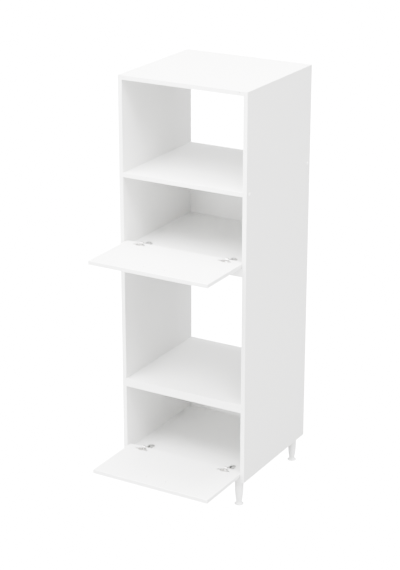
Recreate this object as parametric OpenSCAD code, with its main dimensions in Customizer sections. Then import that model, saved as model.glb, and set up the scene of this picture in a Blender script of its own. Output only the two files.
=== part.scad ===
// Tall kitchen housing on levelling legs. From the top down it has an open microwave niche,
// a flap compartment, an open oven niche and a second flap compartment.
// Millimetres, +Z up, the front faces -Y. The origin is on the floor, at the centre of the
// footprint that the cabinet covers with both flaps lying open, which is the pose drawn.

/* [Cabinet] */
// Overall width
cabinet_w = 600; // [500:10:900]
// Depth of the side panels with their front bands
cabinet_d = 560; // [450:5:650]
// Thickness of the side panels and the shelves
board_t = 18; // [16:0.5:22]
// Thickness of the bands on the front edges
front_band_t = 1; // [0.6:0.1:2]

/* [Compartments] */
// Clear height of the lower flap compartment
lower_compartment_h = 304; // [220:1:400]
// Clear height of the oven niche
oven_niche_h = 566; // [400:1:700]
// Clear height of the upper flap compartment
upper_compartment_h = 304; // [220:1:400]
// Clear height of the microwave niche
microwave_niche_h = 393; // [300:1:600]

/* [Back panels] */
// Thickness of the hardboard backs
back_t = 3; // [2.5:0.1:5]
// Distance from the rear edges to the backs
back_inset = 8.4; // [6:0.2:20]
// Depth of the grooves that hold the backs
groove_depth = 6; // [4:0.5:8]
// Slack of a back in its groove, on each face and edge
groove_gap = 0.2; // [0.1:0.05:0.4]

/* [Flaps] */
// Thickness of the flaps
flap_t = 18; // [16:0.5:20]
// Gap at each end of a flap
flap_side_gap = 2; // [1:0.1:4]
// Gap over a closed flap
flap_top_gap = 2; // [1.5:0.1:4]
// Thickness of the bands round a flap, and the radius of their outer corners
flap_band_t = 2; // [1:0.1:3]
// Distance between the two handle holes of a flap
handle_hole_spacing = 96; // [64:32:320]
// Diameter of a handle hole
handle_hole_d = 5; // [4:0.5:6]
// Distance from the free edge of a flap to its handle holes
handle_hole_edge = 55; // [30:1:90]

/* [Hinges] */
// Distance from the end of a flap to the middle of its hinge
hinge_inset = 76; // [60:1:110]
// Distance from a flap's outer face, and from its lower edge, to the hinge pin
pivot_depth = 11; // [10.5:0.1:11.5]
// Least gap between the turning flap and the floor of its compartment
sweep_gap = 0.4; // [0.3:0.1:1]
// Diameter of the hinge cup
cup_d = 35; // [34:0.5:38]
// Depth of the hinge cup below the flap's face
cup_depth = 12; // [11.5:0.1:12.6]
// Distance from a flap's lower edge to the middle of a cup
cup_edge_distance = 22.5; // [22:0.1:24]
// Wall of the cup
cup_wall = 1.2; // [0.8:0.1:1.4]
// Thickness of the cup's flange
flange_t = 1.2; // [0.8:0.1:1.5]
// Distance between the two screws of a cup
cup_screw_spacing = 48; // [46:0.5:54]
// Distance from the middle of the cup to the line of its screws
cup_screw_offset = 6; // [4:0.5:9.5]
// Diameter of the hinge pin
pin_d = 3; // [2.5:0.1:3.2]
// Wall round the pin in the arm's eye
eye_wall = 1.5; // [1.2:0.1:1.8]
// Width of the arm's neck
neck_w = 11; // [9:0.5:12]
// Thickness of the arm's neck
neck_t = 3.2; // [2.4:0.1:3.6]
// Outer width of the arm's channel
channel_w = 15.4; // [14:0.2:18]
// Thickness of the channel's walls
channel_wall = 1.5; // [1:0.1:1.8]
// Height of the channel's top above the compartment floor
channel_top = 12.2; // [11:0.1:14]
// Rear end of the channel, from the front of the cabinet
channel_end = 79; // [77:0.5:82]

/* [Mounting plates] */
// First plate screw, from the front of the cabinet
plate_screw_y = 55; // [54:0.5:56]
// Distance between the two screws of a plate
plate_screw_spacing = 32; // [32:0.5:36]
// Thickness of a mounting plate
plate_t = 2.5; // [2:0.1:3]
// Width of a mounting plate
plate_w = 17; // [16:0.5:24]
// Height of the plate's rail above the compartment floor
rail_top = 8; // [7:0.1:8.6]
// Diameter of the wood screws' shanks
wood_screw_d = 3.5; // [3:0.1:4]
// Depth that the wood screws reach into the boards
wood_screw_reach = 12.5; // [10:0.5:13.5]

/* [Fittings] */
// Diameter of the wooden dowels
dowel_d = 8; // [6:1:10]
// Depth of a dowel in a side panel
dowel_reach = 11.5; // [8:0.5:13]
// Length of a dowel
dowel_l = 30; // [25:1:40]
// Distance from the front and the rear edge to the nearest dowel
dowel_inset = 64; // [56:1:75]
// Distance from the front and the rear edge to the nearest cam
cam_inset = 96; // [90:1:120]
// Diameter of a cam
cam_d = 15; // [12:0.5:15]
// Height of a cam
cam_h = 12.5; // [12:0.5:13]
// Distance from a shelf's end to the middle of its cam
cam_end_distance = 24; // [24:0.5:34]
// Diameter of a cam bolt's shaft
cam_bolt_d = 6; // [5:0.5:7]
// Diameter of the screws through the sides into the microwave shelf
side_screw_d = 5; // [4:0.5:6]
// Length of those screws
side_screw_l = 50; // [40:1:70]
// Distance from the front and the rear edge to those screws
side_screw_inset = 23; // [20:1:40]
// Diameter of the caps over those screws
cap_d = 15; // [12:0.5:18]
// Height of the caps
cap_h = 3.6; // [1:0.1:5]
// Distance from the middle of the cabinet to the screws that join two stacked boards
doubling_screw_x = 120; // [60:5:150]
// Distance from the front and the rear edge to those screws
doubling_screw_inset = 80; // [60:5:120]
// Distance from the right side panel to the hole in the top panel's front edge
edge_hole_inset = 19; // [8:1:200]
// Diameter of that hole
edge_hole_d = 5; // [3:0.5:8]

/* [Legs] */
// Height of the cabinet's underside over the floor
leg_h = 120; // [100:1:160]
// Height of a foot
foot_h = 15; // [12:0.5:20]
// Distance from the outer side to the middle of a leg
leg_inset_x = 40; // [36:1:80]
// Distance from the front and the rear edge to the middle of a leg
leg_inset_y = 33; // [31:1:36]
// Diameter of the top of a leg
leg_d = 38; // [34:1:40]
// Diameter of the bottom of a leg
leg_neck_d = 25; // [20:0.5:30]
// Wall of a leg
leg_wall = 2.5; // [2:0.1:3]
// Diameter of a foot at the floor
foot_d = 40; // [34:1:60]
// Diameter of the screw-in spindle
spindle_d = 10; // [8:1:12]
// Length of the spindle over the foot
spindle_l = 45; // [35:1:55]
// Diameter of a leg's mounting plate
leg_plate_d = 56; // [56:1:60]
// Thickness of a leg's mounting plate
leg_plate_t = 3; // [2.5:0.1:4]

/* [Hidden] */
$fn = 48;

// Small clearances: fixed fittings, the turning pin, and cuts that run past a face
fit = 0.1;
pin_fit = 0.05;
past = 1;

// Colours, as the photograph shows them
board_white = [0.96, 0.96, 0.95];
back_white = [0.90, 0.90, 0.89];
band_white = [0.97, 0.97, 0.96];
plastic_white = [0.93, 0.93, 0.92];
nickel = [0.78, 0.78, 0.77];
zinc = [0.72, 0.72, 0.70];
beech = [0.85, 0.72, 0.52];

// Heights of the boards, bottom to top
base_z = leg_h;
lower_floor_z = base_z + board_t;
lower_roof_z = lower_floor_z + lower_compartment_h;
oven_floor_z = lower_roof_z + 2 * board_t;
oven_roof_z = oven_floor_z + oven_niche_h;
upper_floor_z = oven_roof_z + 2 * board_t;
upper_roof_z = upper_floor_z + upper_compartment_h;
microwave_floor_z = upper_roof_z + board_t;
microwave_roof_z = microwave_floor_z + microwave_niche_h;
cabinet_top_z = microwave_roof_z + board_t;

// A flap turns about a pin at pivot_depth from its outer face and from its lower edge.
// Its rounded lower corner passes under the pin, which sets the gap below the flap.
flap_corner_r = flap_band_t * 0.95;
corner_reach = sqrt(2) * (pivot_depth - flap_corner_r) + flap_corner_r;
flap_floor_gap = ceil(10 * (corner_reach + sweep_gap - pivot_depth)) / 10;
pivot_z = pivot_depth + flap_floor_gap;
flap_face_z = flap_floor_gap + flap_t;
flap_rear_y = 2 * pivot_depth;
flap_w = cabinet_w - 2 * board_t - 2 * flap_side_gap;
function flap_h(compartment_h) = compartment_h - flap_top_gap - flap_floor_gap;

// The front of the cabinet, from the middle of the footprint
flap_reach = flap_h(max(upper_compartment_h, lower_compartment_h)) - flap_rear_y;
front_y = (flap_reach - cabinet_d) / 2;

// Inner faces
inner_x = cabinet_w / 2 - board_t;
inner_w = 2 * inner_x;
back_face_y = front_y + cabinet_d - back_inset - back_t;

// Hinge: places along Y from the front of the cabinet, heights from the compartment floor
hinge_x = flap_w / 2 - hinge_inset;
cup_r = cup_d / 2;
cup_y = flap_rear_y - cup_edge_distance;
pocket_r = cup_r - fit - cup_wall;
pocket_floor_z = flap_face_z - cup_depth + cup_wall / 2;
neck_side_gap = 0.8;
cheek_gap = neck_w / 2 + neck_side_gap;
cheek_front_l = 2.5;
pin_end_gap = 0.3;
pin_half_l = sqrt(pow(cup_r - fit, 2) - pow(pivot_depth - cup_y + pin_d / 2, 2)) - pin_end_gap;
eye_r = pin_d / 2 + eye_wall;
flange_rim_w = 1.6;
ear_wall = 3;
ear_r = wood_screw_d + ear_wall;
// The neck leaves the pin, arches over the flap's rear edge and comes down behind it
lip_reach = norm([pivot_depth, flap_t - pivot_depth]);
lip_gap = 0.5;
web_overlap = 0.6;
arch_drop = 2.4;
neck_rear_y = pivot_depth + lip_reach + lip_gap;
neck_front_y = pivot_depth + eye_r - web_overlap;
arch_r = (neck_rear_y - neck_front_y) / 2;
arch_y = (neck_rear_y + neck_front_y) / 2;
arch_z = flap_face_z - arch_drop;
shoulder_l = 9;
// Spring in the cup
spring_t = 0.5;
spring_rise = 2.2;
spring_rise_l = 10;
spring_side_gap = 2;
spring_tip_gap = 1.2;
spring_end_gap = 1.5;
spring_steps = 8;
// Mounting plate
plate_front_l = 20;
plate_rear_l = 9;
plate_start = plate_screw_y - plate_front_l;
plate_end = plate_screw_y + plate_screw_spacing + plate_rear_l;
rail_side_gap = 0.4;
rail_front_l = 16;
rail_rear_gap = 7;
rail_w = channel_w - 2 * channel_wall - 2 * rail_side_gap;
rail_start = plate_screw_y - rail_front_l;
rail_end = plate_screw_y + plate_screw_spacing - rail_rear_gap;
adjusting_screw_offset = 11;
adjusting_screw_y = plate_screw_y - adjusting_screw_offset;
adjusting_screw_l = channel_top - rail_top + 1;
fixing_screw_y = plate_screw_y + plate_screw_spacing / 2;
fixing_slot_half_l = 4;
machine_screw_d = 4;
machine_screw_head_d = 8;
machine_screw_head_h = 2.4;

// Legs
leg_x = cabinet_w / 2 - leg_inset_x;
leg_front_y = front_y + leg_inset_y;
leg_rear_y = front_y + cabinet_d - leg_inset_y;
leg_body_h = leg_h - leg_plate_t - foot_h;
leg_screw_edge = 4.8;
leg_screw_circle_r = leg_plate_d / 2 - leg_screw_edge;
leg_stub_r = leg_d / 2 - leg_wall - fit;
leg_stub_h = 12;
leg_core_h = 30;
leg_profile_steps = 14;
foot_gap = 0.2;
foot_top_inset = 0.5;
foot_sole_h = 2.5;
foot_chamfer = 0.8;
foot_profile_steps = 8;

// The boards that cams and dowels join to the sides, by the height of their undersides
cam_board_z = [base_z, lower_roof_z + board_t, oven_roof_z + board_t, microwave_roof_z];
dowel_board_z = concat(cam_board_z, [upper_roof_z]);
// The boards that are stacked under another board, by the height of their undersides
doubling_board_z = [lower_roof_z, oven_roof_z];

cam_y = [front_y + cam_inset, front_y + cabinet_d - cam_inset];
dowel_y = [front_y + dowel_inset, front_y + cabinet_d - dowel_inset];
side_screw_y = [front_y + side_screw_inset, front_y + cabinet_d - side_screw_inset];
doubling_screw_y = [
    front_y + doubling_screw_inset,
    front_y + cabinet_d - doubling_screw_inset
];
doubling_screw_cover = 6;
doubling_screw_l = 2 * board_t - doubling_screw_cover;
side_screw_head_d = 9.5;
side_screw_head_h = side_screw_head_d / 3;
side_screw_z = upper_roof_z + board_t / 2;
socket_d = 4;
socket_depth = 3;
cap_stud_l = 2.4;
cap_rim_h = cap_h * 0.3;
cap_dome_steps = 8;
dowel_chamfer = 1;
side_bolt_reach = 11;
cam_bolt_head_d = cam_bolt_d - 1;
cam_bolt_head_l = 2;
cam_bolt_waist_d = 3.2;
cam_bolt_waist_l = 4;
cam_slot_w = 1.5;
cam_slot_depth = 2;
edge_hole_depth = 11;
edge_hole_x = inner_x - edge_hole_inset;
front_band_r = front_band_t / 2;

// ---- Shapes that several pieces share ----

// A bar along X, centred, whose outline is drawn as Y and Z
module along_x(length) {
    rotate([90, 0, 90]) translate([0, 0, -length / 2]) linear_extrude(length) children();
}

// A cylinder along X, from the middle of one end
module rod_x(r, length) {
    rotate([0, 90, 0]) cylinder(r = r, h = length);
}

// The outline of a band: thick in x, wide in y, with its two outer corners rounded
module band_outline(thickness, width, r) {
    intersection() {
        square([thickness, width]);
        union() {
            translate([r, 0]) square([thickness, width]);
            translate([0, r]) square([thickness, width - 2 * r]);
            for (y = [r, width - r]) translate([r, y]) circle(r = r);
        }
    }
}

// A countersunk wood screw, its head's flat face up at z = 0
module wood_screw(d, reach) {
    head_d = 2 * d;
    head_h = (head_d - d) / 2;
    difference() {
        union() {
            translate([0, 0, -head_h]) cylinder(r1 = d / 2, r2 = head_d / 2, h = head_h);
            translate([0, 0, d - reach]) cylinder(d = d, h = reach - d - head_h);
            translate([0, 0, -reach]) cylinder(r1 = d / 10, r2 = d / 2, h = d);
        }
        screw_cross(d, head_h * 0.7);
    }
}

// The cross recess of a screw, from z = 0 down
module screw_cross(d, depth) {
    blade_t = d / 5;
    for (turn = [0, 90]) rotate(turn)
        translate([-d / 2, -blade_t / 2, -depth]) cube([d, blade_t, depth + past]);
}

// The hole of such a screw
module wood_screw_hole(d, reach) {
    head_h = d / 2;
    translate([0, 0, -head_h]) cylinder(r1 = d / 2 + fit, r2 = d + fit, h = head_h);
    translate([0, 0, -reach - fit]) cylinder(r = d / 2 + fit, h = reach);
    cylinder(r = d + fit, h = past);
}

// ---- Boards ----

// The right side panel, with its grooves and holes
module side_panel() {
    color(board_white) difference() {
        translate([inner_x, front_y + front_band_t, base_z])
            cube([board_t, cabinet_d - front_band_t, cabinet_top_z - base_z]);
        side_groove(lower_floor_z, lower_compartment_h);
        side_groove(upper_floor_z, upper_compartment_h);
        for (z = dowel_board_z, y = dowel_y)
            translate([inner_x - past, y, z + board_t / 2])
                rod_x(dowel_d / 2 + fit, dowel_reach + past);
        for (z = cam_board_z, y = cam_y)
            translate([inner_x - past, y, z + board_t / 2])
                rod_x(cam_bolt_d / 2 + fit, side_bolt_reach + past);
        for (y = side_screw_y) translate([cabinet_w / 2, y, side_screw_z]) side_screw_hole();
    }
}

// A groove for a back, only as high as the back
module side_groove(floor_z, compartment_h) {
    translate([inner_x - past, back_face_y - groove_gap, floor_z - groove_depth])
        cube([
            groove_depth + past,
            back_t + 2 * groove_gap,
            compartment_h + 2 * groove_depth
        ]);
}

// A board between the sides, by the height of its underside
module shelf_board(z) {
    translate([-inner_x, front_y + front_band_t, z])
        cube([inner_w, cabinet_d - front_band_t, board_t]);
}

// A groove across a board for a back, cut downwards or upwards from z
module shelf_groove(z) {
    translate([-inner_x - past, back_face_y - groove_gap, z - groove_depth])
        cube([inner_w + 2 * past, back_t + 2 * groove_gap, 2 * groove_depth]);
}

module dowel_holes(z) {
    for (side = [-1, 1], y = dowel_y)
        translate([side * (inner_x - (dowel_l - dowel_reach) / 2), y, z + board_t / 2])
            rotate([0, 90, 0])
                cylinder(r = dowel_d / 2 + fit, h = dowel_l - dowel_reach + past, center = true);
}

module cam_holes(z) {
    for (side = [-1, 1], y = cam_y) {
        translate([side * (inner_x - cam_end_distance), y, z - past])
            cylinder(r = cam_d / 2 + fit, h = cam_h + fit + past);
        translate([side * (inner_x - cam_end_distance / 2), y, z + board_t / 2])
            rotate([0, 90, 0])
                cylinder(r = cam_bolt_d / 2 + fit, h = cam_end_distance + past, center = true);
    }
}

// Pilot holes for the mounting plates, in a board whose top is at floor_z
module plate_screw_holes(floor_z) {
    for (side = [-1, 1], y = [0, plate_screw_spacing])
        translate([side * hinge_x, front_y + plate_screw_y + y, floor_z - wood_screw_reach])
            cylinder(r = wood_screw_d / 2 + fit, h = wood_screw_reach + past);
}

module doubling_screw_places(z) {
    for (side = [-1, 1], y = doubling_screw_y)
        translate([side * doubling_screw_x, y, z]) mirror([0, 0, 1]) children();
}

module edge_hole() {
    translate([edge_hole_x, front_y - past, cabinet_top_z - edge_hole_d])
        rotate([-90, 0, 0]) cylinder(d = edge_hole_d, h = edge_hole_depth + past);
}

module left_side_panel() { mirror([1, 0, 0]) side_panel(); }
module right_side_panel() { side_panel(); }

module top_panel() {
    color(board_white) difference() {
        shelf_board(microwave_roof_z);
        dowel_holes(microwave_roof_z);
        cam_holes(microwave_roof_z);
        edge_hole();
    }
}

module microwave_shelf() {
    color(board_white) difference() {
        shelf_board(upper_roof_z);
        dowel_holes(upper_roof_z);
        shelf_groove(upper_roof_z);
        for (side = [0, 1], y = side_screw_y)
            mirror([side, 0, 0]) translate([cabinet_w / 2, y, side_screw_z]) side_screw_hole();
    }
}

module upper_compartment_floor() {
    color(board_white) difference() {
        shelf_board(oven_roof_z + board_t);
        dowel_holes(oven_roof_z + board_t);
        cam_holes(oven_roof_z + board_t);
        shelf_groove(upper_floor_z);
        plate_screw_holes(upper_floor_z);
        doubling_screw_places(oven_roof_z) wood_screw_hole(wood_screw_d, doubling_screw_l);
    }
}

module oven_niche_top() {
    color(board_white) difference() {
        shelf_board(oven_roof_z);
        doubling_screw_places(oven_roof_z) wood_screw_hole(wood_screw_d, doubling_screw_l);
    }
}

module oven_shelf() {
    color(board_white) difference() {
        shelf_board(lower_roof_z + board_t);
        dowel_holes(lower_roof_z + board_t);
        cam_holes(lower_roof_z + board_t);
        doubling_screw_places(lower_roof_z) wood_screw_hole(wood_screw_d, doubling_screw_l);
    }
}

module lower_compartment_top() {
    color(board_white) difference() {
        shelf_board(lower_roof_z);
        shelf_groove(lower_roof_z);
        doubling_screw_places(lower_roof_z) wood_screw_hole(wood_screw_d, doubling_screw_l);
    }
}

module bottom_panel() {
    color(board_white) difference() {
        shelf_board(base_z);
        dowel_holes(base_z);
        cam_holes(base_z);
        shelf_groove(lower_floor_z);
        plate_screw_holes(lower_floor_z);
        each_leg() leg_screw_places()
            translate([0, 0, -past]) cylinder(r = wood_screw_d / 2 + fit, h = wood_screw_reach);
    }
}

module back_panel(floor_z, compartment_h) {
    edge = groove_depth - groove_gap;
    color(back_white)
        translate([-inner_x - edge, back_face_y, floor_z - edge])
            cube([inner_w + 2 * edge, back_t, compartment_h + 2 * edge]);
}

module upper_back_panel() { back_panel(upper_floor_z, upper_compartment_h); }
module lower_back_panel() { back_panel(lower_floor_z, lower_compartment_h); }

// ---- Edge bands of the cabinet ----

module side_edge_bands() {
    color(band_white) for (side = [-1, 1])
        translate([side * (inner_x + board_t / 2) + board_t / 2, front_y, base_z])
            rotate(90) linear_extrude(cabinet_top_z - base_z)
                band_outline(front_band_t, board_t, front_band_r);
}

// The front bands of boards between the sides, by the heights of the boards' undersides
module board_bands(heights) {
    for (z = heights)
        translate([0, front_y, z]) along_x(inner_w)
            band_outline(front_band_t, board_t, front_band_r);
}

module shelf_edge_bands() {
    color(band_white) difference() {
        board_bands(dowel_board_z);
        edge_hole();
    }
}

module doubling_board_edge_bands() {
    color(band_white) board_bands(doubling_board_z);
}

// ---- Fittings that join the boards ----

module side_screw_hole() {
    rotate([0, 90, 0]) {
        translate([0, 0, -side_screw_l - fit])
            cylinder(r = side_screw_d / 2 + fit, h = side_screw_l);
        translate([0, 0, -side_screw_head_h])
            cylinder(
                r1 = side_screw_d / 2 + fit, r2 = side_screw_head_d / 2 + fit, h = side_screw_head_h
            );
        cylinder(r = side_screw_head_d / 2 + fit, h = past);
    }
}

module microwave_shelf_screws() {
    head_h = side_screw_head_h;
    color(zinc) for (side = [0, 1], y = side_screw_y)
        mirror([side, 0, 0]) translate([cabinet_w / 2, y, side_screw_z]) rotate([0, 90, 0])
            difference() {
                union() {
                    translate([0, 0, -side_screw_l])
                        cylinder(d = side_screw_d, h = side_screw_l - head_h / 2);
                    translate([0, 0, -head_h])
                        cylinder(r1 = side_screw_d / 2, r2 = side_screw_head_d / 2, h = head_h);
                }
                translate([0, 0, -socket_depth]) cylinder(d = socket_d, h = socket_depth + past);
            }
}

module screw_cover_caps() {
    dome = [
        for (step = [0:cap_dome_steps]) let (turn = step * 90 / cap_dome_steps)
            [cap_d / 2 * cos(turn), cap_rim_h + (cap_h - cap_rim_h) * sin(turn)]
    ];
    color(plastic_white) for (side = [0, 1], y = side_screw_y)
        mirror([side, 0, 0]) translate([cabinet_w / 2, y, side_screw_z]) rotate([0, 90, 0]) {
            rotate_extrude() polygon(concat([[0, 0], [cap_d / 2, 0]], dome));
            translate([0, 0, -cap_stud_l]) cylinder(d = socket_d - 2 * fit, h = cap_stud_l);
        }
}

module wooden_dowels() {
    chamfer = dowel_chamfer;
    l = dowel_l - 4 * fit;
    color(beech) for (side = [0, 1], z = dowel_board_z, y = dowel_y)
        mirror([side, 0, 0])
            translate([inner_x + dowel_reach - 2 * fit, y, z + board_t / 2]) rotate([0, -90, 0]) {
                cylinder(d1 = dowel_d - 2 * chamfer, d2 = dowel_d, h = chamfer);
                translate([0, 0, chamfer]) cylinder(d = dowel_d, h = l - 2 * chamfer);
                translate([0, 0, l - chamfer])
                    cylinder(d1 = dowel_d, d2 = dowel_d - 2 * chamfer, h = chamfer);
            }
}

module cam_bolts() {
    l = side_bolt_reach - 2 * fit + cam_end_distance - cam_bolt_waist_l / 2;
    color(zinc) for (side = [0, 1], z = cam_board_z, y = cam_y)
        mirror([side, 0, 0])
            translate([inner_x + side_bolt_reach - 2 * fit, y, z + board_t / 2])
                rotate([0, -90, 0]) {
                    cylinder(d = cam_bolt_d, h = l - cam_bolt_waist_l);
                    cylinder(d = cam_bolt_waist_d, h = l);
                    translate([0, 0, l]) cylinder(d = cam_bolt_head_d, h = cam_bolt_head_l);
                }
}

// A cam: a drum with a pocket that takes the bolt's head, and a slot in its end face
module cam_locks() {
    color(zinc) for (side = [0, 1], z = cam_board_z, y = cam_y)
        mirror([side, 0, 0]) translate([inner_x - cam_end_distance, y, z]) difference() {
            cylinder(d = cam_d, h = cam_h);
            translate([0, 0, board_t / 2]) {
                rod_x(cam_bolt_d / 2 + fit, cam_d);
                translate([-cam_d / 4, 0, 0]) rod_x(cam_bolt_d / 2 + fit, cam_d / 2);
            }
            for (turn = [0, 90]) rotate(turn)
                translate([-cam_d / 3, -cam_slot_w / 2, -past])
                    cube([cam_d * 2 / 3, cam_slot_w, cam_slot_depth + past]);
        }
}

module doubling_screws() {
    color(zinc) for (z = doubling_board_z)
        doubling_screw_places(z) wood_screw(wood_screw_d, doubling_screw_l);
}

// ---- Legs ----

module each_leg() {
    for (x = [-leg_x, leg_x], y = [leg_front_y, leg_rear_y])
        translate([x, y, base_z]) children();
}

module leg_screw_places() {
    for (turn = [45:90:315]) rotate(turn) translate([leg_screw_circle_r, 0, 0]) children();
}

// A round flange under the bottom panel with a ring that the leg is pushed over
module leg_plate(x, y) {
    color(plastic_white) translate([x, y, base_z]) difference() {
        union() {
            translate([0, 0, -leg_plate_t]) cylinder(d = leg_plate_d, h = leg_plate_t);
            translate([0, 0, -leg_plate_t - leg_stub_h]) cylinder(r = leg_stub_r, h = leg_stub_h);
        }
        translate([0, 0, -leg_plate_t - leg_stub_h - past])
            cylinder(r = leg_stub_r - leg_wall, h = leg_stub_h + past);
        leg_screw_places() translate([0, 0, -leg_plate_t]) mirror([0, 0, 1])
            wood_screw_hole(wood_screw_d, wood_screw_reach);
    }
}

// The leg's radius at a share s of its height, from the top down: it swells, then tapers
function leg_r(s) = leg_neck_d / 2 + (leg_d - leg_neck_d) / 2 * (1 - pow(s, 3));

module leg(x, y) {
    top_z = leg_h - leg_plate_t;
    steps = leg_profile_steps;
    outside = [for (i = [0:steps]) [leg_r(i / steps), top_z - leg_body_h * i / steps]];
    core_z = top_z - leg_body_h + leg_core_h;
    core_s = 1 - leg_core_h / leg_body_h;
    inside = [for (i = [steps:-1:0])
        [leg_r(core_s * i / steps) - leg_wall, top_z - (top_z - core_z) * i / steps]];
    bore_r = spindle_d / 2 + fit;
    color(plastic_white) translate([x, y, 0]) rotate_extrude()
        polygon(concat(outside, [[bore_r, top_z - leg_body_h], [bore_r, core_z]], inside));
}

// A flared foot with its spindle, screwed fully in
module foot(x, y) {
    top_z = foot_h - foot_gap;
    sole_h = foot_sole_h;
    chamfer = foot_chamfer;
    top_r = leg_neck_d / 2 - foot_top_inset;
    steps = foot_profile_steps;
    flare = [for (i = [0:steps]) let(s = i / steps)
        [top_r + (foot_d / 2 - top_r) * (1 - sqrt(1 - s * s)), top_z - (top_z - sole_h) * s]];
    sole = [[foot_d / 2, chamfer], [foot_d / 2 - chamfer, 0], [0, 0]];
    spindle_top = top_z + spindle_l;
    spindle_r = spindle_d / 2;
    spindle = [
        [0, spindle_top], [spindle_r - chamfer, spindle_top],
        [spindle_r, spindle_top - chamfer], [spindle_r, top_z]
    ];
    color(plastic_white) translate([x, y, 0]) rotate_extrude()
        polygon(concat(spindle, flare, sole));
}

module front_left_leg_plate() { leg_plate(-leg_x, leg_front_y); }
module front_right_leg_plate() { leg_plate(leg_x, leg_front_y); }
module rear_left_leg_plate() { leg_plate(-leg_x, leg_rear_y); }
module rear_right_leg_plate() { leg_plate(leg_x, leg_rear_y); }
module front_left_leg() { leg(-leg_x, leg_front_y); }
module front_right_leg() { leg(leg_x, leg_front_y); }
module rear_left_leg() { leg(-leg_x, leg_rear_y); }
module rear_right_leg() { leg(leg_x, leg_rear_y); }
module front_left_foot() { foot(-leg_x, leg_front_y); }
module front_right_foot() { foot(leg_x, leg_front_y); }
module rear_left_foot() { foot(-leg_x, leg_rear_y); }
module rear_right_foot() { foot(leg_x, leg_rear_y); }

module leg_screws() {
    color(zinc) each_leg() leg_screw_places() translate([0, 0, -leg_plate_t])
        mirror([0, 0, 1]) wood_screw(wood_screw_d, wood_screw_reach);
}

// ---- Hinges, parts fixed to the cabinet ----

module at_hinge(side, floor_z) {
    translate([side * hinge_x, front_y, floor_z]) children();
}

// A bar with round ends along Y, centred on X
module slot_bar(width, start, end, height) {
    translate([-width / 2, start + width / 2, 0]) cube([width, end - start - width, height]);
    for (y = [start + width / 2, end - width / 2])
        translate([0, y, 0]) cylinder(d = width, h = height);
}

module mounting_plate(side, floor_z) {
    color(nickel) at_hinge(side, floor_z) difference() {
        union() {
            slot_bar(plate_w, plate_start, plate_end, plate_t);
            translate([-rail_w / 2, rail_start, 0]) cube([rail_w, rail_end - rail_start, rail_top]);
        }
        for (y = [plate_screw_y, plate_screw_y + plate_screw_spacing])
            translate([0, y, plate_t]) {
                wood_screw_hole(wood_screw_d, wood_screw_reach);
                cylinder(r = wood_screw_d + fit, h = rail_top);
            }
        translate([0, fixing_screw_y, plate_t])
            cylinder(d = machine_screw_d + 2 * fit, h = rail_top);
    }
}

module hinge_arm(side, floor_z) {
    color(nickel) at_hinge(side, floor_z) {
        difference() {
            along_x(neck_w) neck_outline();
            translate([-neck_w / 2 - past, pivot_depth, pivot_z])
                rod_x(pin_d / 2 + pin_fit, neck_w + 2 * past);
        }
        channel();
    }
}

// The gooseneck from the side: the eye, a web, a half ring and the leg behind the flap
module neck_outline() {
    union() {
        translate([pivot_depth, pivot_z]) circle(r = eye_r);
        translate([neck_front_y - neck_t, pivot_z]) square([neck_t, arch_z - pivot_z]);
        translate([arch_y, arch_z]) intersection() {
            difference() {
                circle(r = arch_r + neck_t);
                circle(r = arch_r);
            }
            translate([-arch_r - neck_t, 0]) square([2 * (arch_r + neck_t), arch_r + neck_t]);
        }
        translate([neck_rear_y, channel_top - channel_wall])
            square([neck_t, arch_z - channel_top + channel_wall]);
        polygon([
            [neck_rear_y, channel_top - channel_wall], [neck_rear_y + neck_t, arch_z],
            [neck_rear_y + neck_t + shoulder_l, channel_top - channel_wall]
        ]);
    }
}

// The channel that sits over the plate's rail
module channel() {
    foot_z = plate_t + fit;
    difference() {
        translate([-channel_w / 2, neck_rear_y, foot_z])
            cube([channel_w, channel_end - neck_rear_y, channel_top - foot_z]);
        translate([-channel_w / 2 + channel_wall, neck_rear_y + neck_t, foot_z - past])
            cube([
                channel_w - 2 * channel_wall,
                channel_end - neck_rear_y - neck_t + past,
                channel_top - channel_wall - foot_z + past
            ]);
        translate([0, plate_screw_y, 0])
            cylinder(r = wood_screw_d + 2 * fit, h = channel_top + past);
        translate([0, adjusting_screw_y, 0])
            cylinder(d = machine_screw_d + 2 * fit, h = channel_top + past);
        slot_bar(
            machine_screw_d + 2 * fit,
            fixing_screw_y - fixing_slot_half_l,
            fixing_screw_y + fixing_slot_half_l,
            channel_top + past
        );
    }
}

module upper_left_mounting_plate() { mounting_plate(-1, upper_floor_z); }
module upper_right_mounting_plate() { mounting_plate(1, upper_floor_z); }
module lower_left_mounting_plate() { mounting_plate(-1, lower_floor_z); }
module lower_right_mounting_plate() { mounting_plate(1, lower_floor_z); }
module upper_left_hinge_arm() { hinge_arm(-1, upper_floor_z); }
module upper_right_hinge_arm() { hinge_arm(1, upper_floor_z); }
module lower_left_hinge_arm() { hinge_arm(-1, lower_floor_z); }
module lower_right_hinge_arm() { hinge_arm(1, lower_floor_z); }

module mounting_plate_screws() {
    color(zinc) for (side = [-1, 1], floor_z = [lower_floor_z, upper_floor_z])
        at_hinge(side, floor_z) for (y = [0, plate_screw_spacing])
            translate([0, plate_screw_y + y, plate_t]) wood_screw(wood_screw_d, wood_screw_reach);
}

// A pan head over z = 0 and a shank below it
module pan_screw(d, head_d, head_h, shank_l) {
    difference() {
        union() {
            cylinder(d = head_d, h = head_h / 2);
            translate([0, 0, head_h / 2]) cylinder(d1 = head_d, d2 = head_d * 0.7, h = head_h / 2);
            translate([0, 0, -shank_l]) cylinder(d = d, h = shank_l);
        }
        translate([0, 0, head_h]) screw_cross(d, head_h * 0.7);
    }
}

module hinge_fixing_screws() {
    color(zinc) for (side = [-1, 1], floor_z = [lower_floor_z, upper_floor_z])
        at_hinge(side, floor_z) translate([0, fixing_screw_y, channel_top])
            pan_screw(
                machine_screw_d, machine_screw_head_d, machine_screw_head_h,
                channel_top - plate_t - 2 * fit
            );
}

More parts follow.
